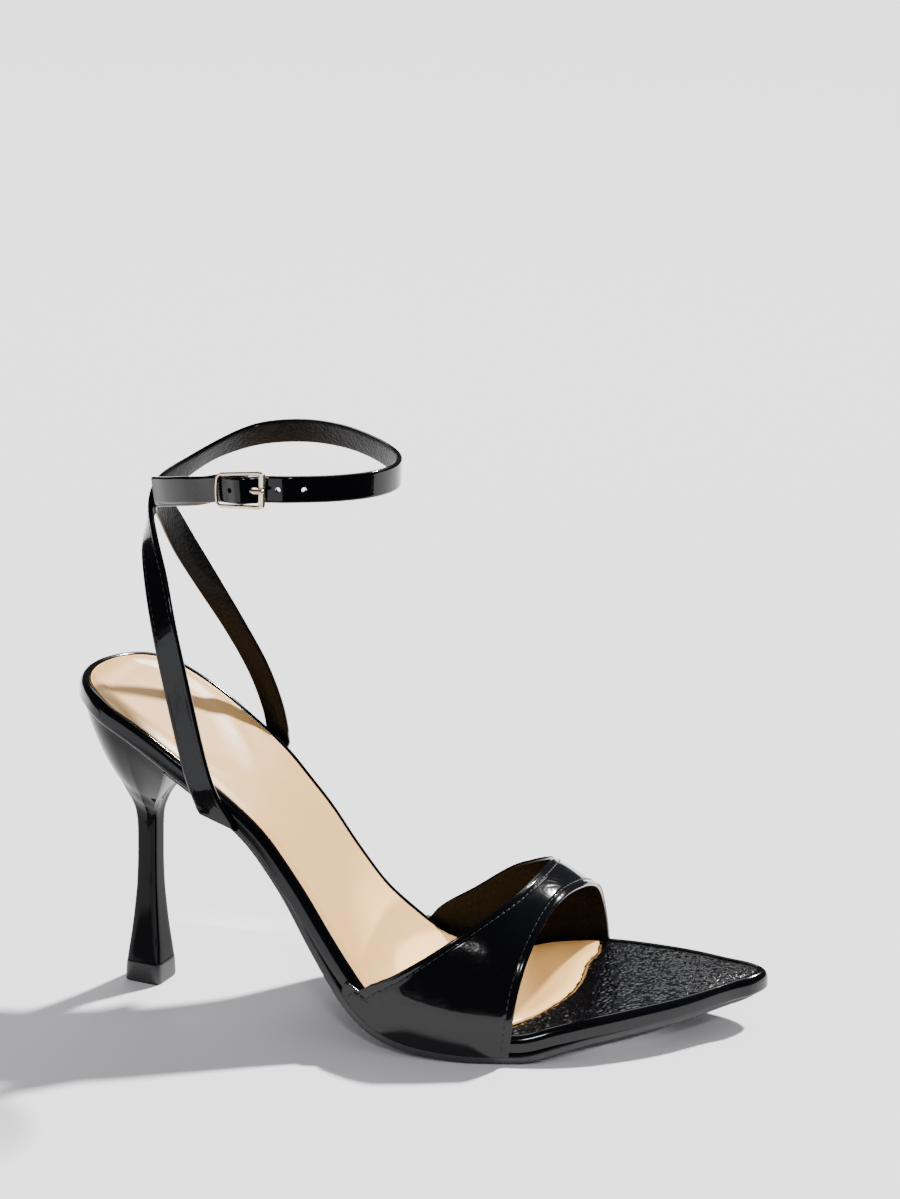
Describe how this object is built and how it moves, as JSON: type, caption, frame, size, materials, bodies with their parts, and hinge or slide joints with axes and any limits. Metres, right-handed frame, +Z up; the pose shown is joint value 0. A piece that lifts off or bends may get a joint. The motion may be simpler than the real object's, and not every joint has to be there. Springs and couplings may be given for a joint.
{
  "type": "strappy heeled sandal",
  "caption": "Pointed sandal with a broad vamp band, crossing ankle straps that buckle at the side, a padded sock and a slim flared heel.",
  "frame": {"origin": "centre of the heel's ground face", "axes": "+X toward the toe, +Y toward the inner side of the foot, +Z up from the floor"},
  "size_m": [0.201, 0.0797, 0.1656],
  "materials": {
    "outsole": "satin black sheet sole",
    "footbed_board": "black patent wrapped over a shaped board",
    "sock": "nude padded lining with a satin sheen",
    "heel": "black patent wrapped over a moulded heel",
    "top_piece": "matte black wearing piece",
    "vamp": "black patent, folded edges",
    "ankle_straps": "black patent, folded edges",
    "buckle_frame": "polished pale gold",
    "buckle_prong": "polished pale gold"
  },
  "bodies": {
    "root": {"outsole": "outsole", "footbed_board": "footbed_board", "sock": "sock", "heel": "heel", "top_piece": "top_piece", "vamp": "vamp", "ankle_straps": "ankle_straps", "buckle_frame": "buckle_frame", "buckle_prong": "buckle_prong"}
  },
  "joints": []
}
